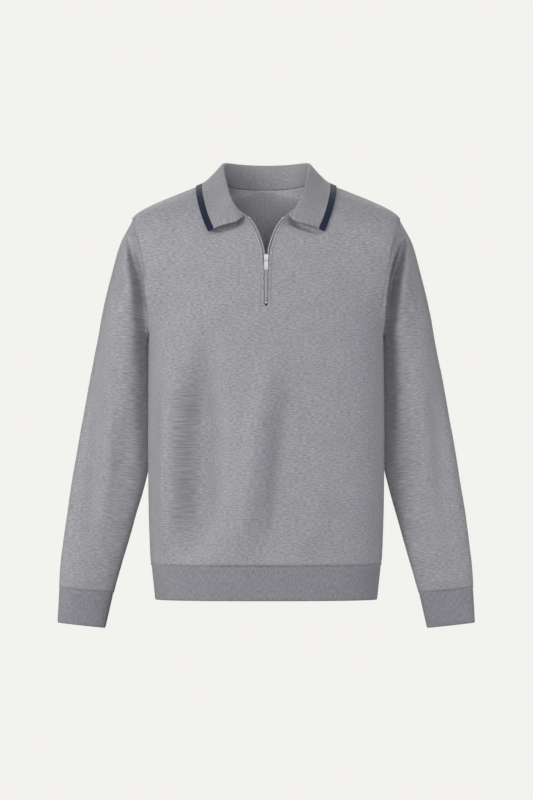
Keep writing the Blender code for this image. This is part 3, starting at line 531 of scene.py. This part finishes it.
def part_of(ring, keep):
    """The longest run of a ring's points that keep accepts."""
    count = len(ring)
    start = next((i for i in range(count) if not keep(ring[i])), 0)
    runs = [[]]
    for i in range(count):
        point = ring[(start + i) % count]
        if keep(point):
            runs[-1].append(point)
        elif runs[-1]:
            runs.append([])
    return max(runs, key=len)


def armhole(side, sign):
    """The run of a panel's outline that is its armhole, from the shoulder down."""
    run = part_of(
        body_edges[side], lambda point: point.x * sign > 0.17 and ARMHOLE_FOOT < point.z < ARMHOLE_HEAD,
    )
    return run if run[0].z > run[-1].z else run[::-1]


def between(rows, z):
    """A table's row at a height, worked out from the rows above and below it."""
    for high, low in zip(rows, rows[1:]):
        if low.z <= z <= high.z:
            share = smooth_step((high.z - z) / (high.z - low.z)) * 0.3 + 0.7 * (high.z - z) / (high.z - low.z)
            return type(high)(*(a + (b - a) * share for a, b in zip(high, low)))
    return None


def fall_back(bm, seam, fullness):
    """Let a sleeve fall back outside its seam and the body's side, in a deep soft fold down both its faces."""
    tree = KDTree(len(seam))
    for i, point in enumerate(seam):
        tree.insert(point, i)
    tree.balance()
    for vert in bm.verts:
        fold = between(FOLD, vert.co.z)
        if not fold:
            continue
        near = smooth_step((tree.find(vert.co)[2] - SEAM_HOLD) / SEAM_STEP)
        below = smooth_step((-0.24 - vert.co.z) / 0.1)
        full = fullness[0] + (fullness[1] - fullness[0]) * below
        off = (abs(vert.co.x) - fold.valley) / fold.width
        share = math.exp(-((off if off > 0 else off / 1.6) ** 2))
        swell = math.exp(-(((off - 2.0) / 0.9) ** 2))
        shift = full * near * (fold.depth * share - fold.swell * swell)
        front = smooth_step((0.055 - vert.co.y) / 0.055)
        back = smooth_step((vert.co.y - 0.01) / 0.07)
        vert.co.y += shift * (front - BACK_SHARE * back)
    bm.normal_update()


for name, sign in (("sleeve_left", 1), ("sleeve_right", -1)):
    bm = cloth_copy(name, SLEEVE_LEVELS)
    def sleeve_place(point):
        """Place on the sleeve's cloth: round it from its outer line, and down it."""
        middle_x, middle_y, radius = sleeve_axis(point.z)
        turn = math.atan2(point.y - middle_y, point.x * sign - middle_x)
        down = (point.x * sign - SLEEVE_PIVOT[0]) * math.sin(SLEEVE_TURN)
        down -= (point.z - SLEEVE_PIVOT[2]) * math.cos(SLEEVE_TURN)
        return turn * radius, -down

    lay_cloth(bm, sleeve_place)
    fall_back(bm, armhole("front", sign) + armhole("back", sign), FULLNESS[name])
    creases = SLEEVE_CREASES
    if sign < 0:
        creases = [item._replace(top_x=-item.top_x, bottom_x=-item.bottom_x) for item in creases]
    press(bm, creases, 0.6 * MM, 7.0 + sign, sleeve_stay)

    finished(bm, name + "_knit", knit, [name])


# ------------------------------------------------------------------ rib hem and cuffs
# Bands of 1x1 rib in the same yarn, knitted on finer needles so that they draw in, and linked to the body and
# sleeves. Each rib is a row of plain stitches that stands out between two rows that fall back.
def skin(rows, closed, uv_size):
    """A skin through rows of points, with a UV map in metres."""
    count = len(rows[0])
    bm = bmesh.new()
    bm.loops.layers.uv.new("Cloth")
    columns = count if closed else count - 1
    bmesh.ops.create_grid(bm, x_segments=columns, y_segments=len(rows) - 1, size=1.0, calc_uvs=True)
    bm.verts.ensure_lookup_table()
    for j, row in enumerate(rows):
        for i in range(columns + 1):
            bm.verts[j * (columns + 1) + i].co = row[i % count]
    layer = bm.loops.layers.uv["Cloth"]
    for face in bm.faces:
        for loop in face.loops:
            loop[layer].uv.x *= uv_size[0]
            loop[layer].uv.y *= uv_size[1]
    bmesh.ops.remove_doubles(bm, verts=bm.verts, dist=WELD)
    bm.normal_update()
    return bm


# The rib's tones are darker than the body's knit: painted shade for the hollows between the ribs.
rib = marl_knit("rib_knit_darker_painted_shade", "#75747a", "#9a999f", wale=2.05, course=1.3, dash=(2.3, 6.5))
RIB_WALL = 1.6 * MM
BAND_ROWS = 8


def rib_band(node):
    """A rib band through the outer rings of its solid. Gives the band and its upper ring."""
    bm = bmesh.new()
    bm.from_mesh(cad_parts[node].data)
    bmesh.ops.remove_doubles(bm, verts=bm.verts, dist=WELD)
    seed = max(bm.faces, key=lambda face: abs(face.normal.x) * abs(face.calc_center_median().x))
    low, high = sorted(outlines(surface_from(seed)), key=lambda ring: ring[0].z)
    bm.free()
    if (low[1] - low[0]).dot(high[1] - high[0]) < 0:
        high.reverse()
    start = min(range(len(high)), key=lambda i: (high[i] - low[0]).length)
    high = high[start:] + high[:start]
    if (low[3] - low[0]).dot(high[3] - high[0]) < 0:
        high = [high[0]] + high[:0:-1]
    rows = []
    for j in range(BAND_ROWS + 1):
        share = j / BAND_ROWS
        rows.append([a.lerp(b, share) for a, b in zip(low, high)])
    around = sum((a - b).length for a, b in zip(low, low[1:] + low[:1]))
    bm = skin(rows, True, (around, (high[0] - low[0]).length))
    bmesh.ops.recalc_face_normals(bm, faces=bm.faces)
    body_skin[node] = skin_tree(bm, bm.faces)
    band = finished(bm, node + "_rib", rib, [node])
    wall = band.modifiers.new("wall", "SOLIDIFY")
    wall.thickness = RIB_WALL
    wall.offset = -1.0
    subdivision = band.modifiers.new("subdivision", "SUBSURF")
    subdivision.levels = 1
    subdivision.render_levels = 1
    return high


band_top = {"hem_band": rib_band("hem_band")}
for name in ("cuff_left", "cuff_right"):
    band_top[name] = rib_band(name)


# ------------------------------------------------------------------ collar
# One knitted piece, folded over the neck: the stand inside and the leaf outside, with no join at the fold.
# The leaf's outer edge is knitted in navy yarn, a stripe 11 mm wide that stops at the front ends.
STRIPE = 11.0 * MM
NAVY = "#1f2639"
COLLAR_LEVELS = 3
bm = cloth_copy("collar", COLLAR_LEVELS)
seed = max(bm.faces, key=lambda face: face.calc_center_median().z)
ring = max(outlines(surface_from(seed)), key=len)
tips = [
    max(range(len(ring)), key=lambda i: -ring[i].z + sign * ring[i].x * 2)
    for sign in (1, -1)
]
first, last = sorted(tips)
sides = (ring[first:last + 1], ring[last:] + ring[:first + 1])
leaf_edge = max(sides, key=lambda points: max(point.y for point in points))
tree = KDTree(len(leaf_edge) * 4)
for i in range(len(leaf_edge) * 4 - 3):
    a = leaf_edge[i // 4]
    b = leaf_edge[min(i // 4 + 1, len(leaf_edge) - 1)]
    tree.insert(a.lerp(b, i % 4 / 4), i)
tree.balance()
edge_distance = bm.verts.layers.float.new("edge_distance")
for vert in bm.verts:
    vert[edge_distance] = tree.find(vert.co)[2]
# The leaf rolls forward over the stand, so that its front ends stand off the chest beside the zip.
LIFT = 13.0 * MM
LEAF_DROP = 5.0 * MM
LEAF_DEPTH = 0.061
bm.verts.index_update()
paths = {vert.index: 0.0 for vert in bm.verts if vert[edge_distance] < 0.5 * MM}
waiting = [(0.0, index) for index in sorted(paths)]
bm.verts.ensure_lookup_table()
while waiting:
    far, index = heapq.heappop(waiting)
    if far > paths[index]:
        continue
    for edge in bm.verts[index].link_edges:
        other = edge.other_vert(bm.verts[index])
        reach = far + edge.calc_length()
        if reach < paths.get(other.index, 1.0):
            paths[other.index] = reach
            heapq.heappush(waiting, (reach, other.index))
for vert in bm.verts:
    if vert.co.y < -0.02:
        on_leaf = smooth_step((LEAF_DEPTH + 0.012 - paths[vert.index]) / 0.022)
        vert.co.y -= LIFT * on_leaf * smooth_step((0.098 - abs(vert.co.x)) / 0.05)
        at_zip = on_leaf * smooth_step((0.082 - abs(vert.co.x)) / 0.04)
        vert.co.z -= LEAF_DROP * at_zip
        vert.co.x -= math.copysign(LEAF_DROP / 2, vert.co.x) * at_zip
run = [0.0]
for a, b in zip(leaf_edge, leaf_edge[1:]):
    run.append(run[-1] + (b - a).length)
lay_cloth(bm, lambda point: (run[min(tree.find(point)[1] // 4, len(run) - 1)], tree.find(point)[2]))

collar_rib = marl_knit(
    "fine_rib_merino_tipped_navy", "#7b7b80", "#a6a5aa", wale=2.1, course=1.3, dash=(1.8, 3.6), relief=0.3,
)
tree_nodes = collar_rib.node_tree
shader = tree_nodes.nodes["Principled BSDF"]
grey = shader.inputs["Base Color"].links[0].from_socket
distance = add_node(tree_nodes, "Attribute", attribute_name="edge_distance")
inside_stripe = add_node(tree_nodes, "MapRange", {
    0: distance.outputs["Fac"], 1: STRIPE - 0.25 * MM, 2: STRIPE + 0.25 * MM, 3: 1.0, 4: 0.0,
})
tipped = add_node(tree_nodes, "Mix", {
    0: inside_stripe.outputs[0], 6: grey, 7: linear(NAVY),
}, data_type="RGBA")
tree_nodes.links.new(tipped.outputs[2], shader.inputs["Base Color"])
collar = finished(bm, "collar_knit", collar_rib, ["collar"])


# ------------------------------------------------------------------ linked seams
# The pieces are linked stitch by stitch, which leaves a low rounded ridge of the same yarn along each seam. At
# the armholes there are two ridges side by side.
SINK = 0.5 * MM
RIDGE_TURNS = (-90, -45, 0, 45, 90)


def rounded(shift, half_width, height):
    """The section of a round ridge: places across and out, from the line it follows."""
    turns = [math.radians(turn) for turn in RIDGE_TURNS]
    return [(shift + half_width * math.sin(turn), height * math.cos(turn) - SINK) for turn in turns]


def ridge(name, points, tree, section, material, closed=False):
    """A ridge of cloth or yarn along a line of points, laid on a skin. Open ends sink into the cloth."""
    hits = [tree.find_nearest(point) for point in points]
    count = len(hits)
    rows = [[] for _ in section]
    for i in range(count):
        before = hits[i - 1][0] if closed or i else hits[i][0]
        after = hits[(i + 1) % count][0] if closed or i < count - 1 else hits[i][0]
        near = [hits[(i + k) % count if closed else max(0, min(count - 1, i + k))][1] for k in (-2, -1, 0, 1, 2)]
        way = sum(near, Vector()).normalized()
        across = (after - before).cross(way).normalized()
        way = across.cross(after - before).normalized()
        if way.dot(hits[i][1]) < 0:
            way = -way
        end = not closed and i in (0, count - 1)
        for row, (sideways, out) in zip(rows, section):
            row.append(hits[i][0] + across * sideways + way * (min(out, -SINK) if end else out))
    length = sum((b[0] - a[0]).length for a, b in zip(hits, hits[1:]))
    bm = skin(rows, closed, (length, abs(section[-1][0] - section[0][0])))
    facing = sum(face.normal.dot(tree.find_nearest(face.calc_center_median())[1]) for face in bm.faces)
    if facing < 0:
        bmesh.ops.reverse_faces(bm, faces=bm.faces)
    return finished(bm, name, material)


# The seam yarn's tones are paler than the body's knit: a painted highlight along the seam ridges.
seam_yarn = marl_knit("linked_seam_paler_painted_light", "#8c8c91", "#b2b1b6", wale=1.3, course=1.7, dash=(3.0, 3.0))


SEAM = rounded(0.0, 0.9 * MM, 1.0 * MM)
RIDGE_END = -0.215               # the armhole's ridges run into the deep fold here
for name, sign in (("left", 1), ("right", -1)):
    for side, way in (("front", 1), ("back", -1)):
        for word, shift in (("inner", 5.2 * MM), ("outer", 0.5 * MM)):
            ridge(
                "_".join(("armhole_ridge", word, side, name)),
                [point for point in armhole(side, sign) if point.z > RIDGE_END], body_skin[side],
                rounded(way * sign * shift, 0.8 * MM, 0.85 * MM), seam_yarn,
            )
    side_line = part_of(body_edges["front"], lambda point: point.x * sign > 0.185 and -0.264 > point.z > -0.640)
    ridge("side_seam_" + name, side_line, body_skin["front"], SEAM, seam_yarn)
    shoulder_line = part_of(
        body_edges["front"], lambda point: 0.10 < point.x * sign < 0.221 and point.z > -0.069 and point.y > -0.004,
    )
    ridge("shoulder_seam_" + name, shoulder_line, body_skin["front"], SEAM, seam_yarn)
BAND_SEAM = rounded(0.0, 0.8 * MM, 0.75 * MM)
ridge("hem_seam", band_top["hem_band"], body_skin["hem_band"], BAND_SEAM, seam_yarn, True)
for name in ("cuff_left", "cuff_right"):
    ridge(name + "_seam", band_top[name], body_skin[name], BAND_SEAM, seam_yarn, True)


# ------------------------------------------------------------------ zip
# Polished aluminium: the slider, its tab and the stops, die-cast or pressed with soft edges, on a grey
# woven tape. Bright, with a faint grain from tumbling.
def polished(name, colour, roughness):
    material = bpy.data.materials.new(name)
    material.use_nodes = True
    tree = material.node_tree
    shader = tree.nodes["Principled BSDF"]
    shader.inputs["Base Color"].default_value = linear(colour)
    shader.inputs["Metallic"].default_value = 1.0
    shader.inputs["Roughness"].default_value = roughness
    place = add_node(tree, "TexCoord")
    grain = add_node(tree, "TexNoise", {"Vector": place.outputs["Object"], "Scale": 1 / (0.4 * MM), "Detail": 2.0})
    bump = add_node(tree, "Bump", {"Height": grain.outputs[0], "Strength": 0.08, "Distance": 0.05 * MM})
    tree.links.new(bump.outputs[0], shader.inputs["Normal"])
    return material


aluminium = polished("tumbled_aluminium", "#e2e2e6", 0.3)


def machined(node, edge, body="garment"):
    """A metal piece on its solid's form, with its edges eased."""
    bm = bmesh.new()
    bm.from_mesh(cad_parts[node].data)
    bmesh.ops.remove_doubles(bm, verts=bm.verts, dist=WELD)
    bmesh.ops.dissolve_limit(bm, angle_limit=math.radians(1), verts=bm.verts, edges=bm.edges)
    hard = [item for item in bm.edges if item.calc_face_angle(0.0) > math.radians(35)]
    bmesh.ops.bevel(
        bm, geom=hard, offset=edge, segments=2, profile=0.5, affect="EDGES", material=-1,
        clamp_overlap=True,
    )
    bm.normal_update()
    return finished(bm, node + "_metal", aluminium, [node], body)


for node in ("zip_slider", "zip_bottom_stop", "zip_top_stop_left", "zip_top_stop_right"):
    machined(node, 0.22 * MM)
machined("zip_pull_tab", 0.2 * MM, "zip_pull")

tape_weave = marl_knit("woven_polyester_tape", "#6c6c70", "#8c8c90", wale=0.6, course=0.6, dash=(1.5, 0.6))
for node in ("zip_tape_left", "zip_tape_right"):
    bm = bmesh.new()
    bm.from_mesh(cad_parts[node].data)
    bmesh.ops.remove_doubles(bm, verts=bm.verts, dist=WELD)
    lay_cloth(bm, lambda point: (point.x, point.z))
    tape = finished(bm, node + "_woven", tape_weave, [node])

# Pressed aluminium teeth, clamped on the tapes' corded edges 1.8 mm apart. Below the slider the two rows lock.
TOOTH_GAP = 1.8 * MM
TOOTH = (2.6 * MM, 0.85 * MM, 1.3 * MM)      # across the chain, along it and through it
CORD_WIDTH = 2.0 * MM
slider_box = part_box("zip_slider")
for name, sign in (("left", 1), ("right", -1)):
    bm = bmesh.new()
    bm.from_mesh(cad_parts["zip_tape_" + name].data)
    bmesh.ops.remove_doubles(bm, verts=bm.verts, dist=WELD)
    rungs = []
    for edge in bm.edges:
        span = edge.verts[1].co - edge.verts[0].co
        if abs(span.length - CORD_WIDTH) < 0.05 * MM and abs(span.x) > 0.6 * span.length:
            rungs.append(((edge.verts[0].co + edge.verts[1].co) / 2, span.normalized() * math.copysign(sign, span.x)))
    bm.free()
    rungs.sort(key=lambda rung: rung[0].z)
    teeth = bmesh.new()
    travelled = TOOTH_GAP / 2 * (1 + sign)
    for (a, across_a), (b, across_b) in zip(rungs, rungs[1:]):
        length = (b - a).length
        while travelled < length:
            share = travelled / length
            place = a.lerp(b, share)
            travelled += TOOTH_GAP
            if slider_box[0].z < place.z < slider_box[1].z:
                continue
            along = (b - a).normalized()
            across = across_a.lerp(across_b, share).normalized()
            out = along.cross(across).normalized()
            if out.y > 0:
                out = -out
            turn = Matrix((across, along, out)).transposed().to_4x4()
            turn.translation = place - across * 0.35 * MM + out * 0.1 * MM
            bmesh.ops.create_cube(teeth, size=1.0, matrix=turn @ Matrix.Diagonal((*TOOTH, 1.0)))
        travelled -= length
    bmesh.ops.bevel(
        teeth, geom=teeth.edges[:], offset=0.18 * MM, segments=1, profile=0.5, affect="EDGES", material=-1,
    )
    finished(teeth, "zip_teeth_" + name, aluminium)

# The front's edge is turned in along the zip and sewn down: a rolled edge, a flat welt and a row of stitches.
WELT = (
    (-0.2, -1.2), (-0.1, 0.2), (0.5, 0.9), (1.6, 1.2), (2.7, 0.9), (3.3, 0.4), (4.2, 0.4), (4.9, 0.3), (5.3, -0.4),
)
STITCH_GAP = 3.0 * MM
STITCH_SIZE = (0.35 * MM, 1.1 * MM, 0.3 * MM)
STITCH_IN = 4.3 * MM
thread = marl_knit("sewing_thread", "#68686d", "#7e7e83", wale=0.4, course=0.4, dash=(0.8, 0.8), relief=0.05)
for name, sign in (("left", 1), ("right", -1)):
    run = part_of(
        body_edges["front"],
        lambda point: 0.0030 < point.x * sign < 0.0335 and -0.2135 < point.z < -0.0665 and point.y < -0.04,
    )
    if run[0].z < run[-1].z:
        run.reverse()
    ridge(
        "zip_welt_" + name, run, body_skin["front"], [(-sign * a * MM, b * MM) for a, b in WELT], knit,
    )
    stitches = bmesh.new()
    travelled = STITCH_GAP
    for a, b in zip(run, run[1:]):
        length = (b - a).length
        while travelled < length:
            place = a.lerp(b, travelled / length)
            travelled += STITCH_GAP
            normal = body_skin["front"].find_nearest(place)[1]
            along = (b - a).normalized()
            across = along.cross(normal).normalized()
            out = across.cross(along)
            turn = Matrix((across, along, out)).transposed().to_4x4()
            turn.translation = place - across * sign * STITCH_IN + out * 0.4 * MM
            bmesh.ops.create_icosphere(
                stitches, subdivisions=1, radius=1.0, matrix=turn @ Matrix.Diagonal((*STITCH_SIZE, 1.0)),
            )
        travelled -= length
    lay_cloth(stitches, lambda point: (point.x, point.z))
    finished(stitches, "zip_stitches_" + name, thread)
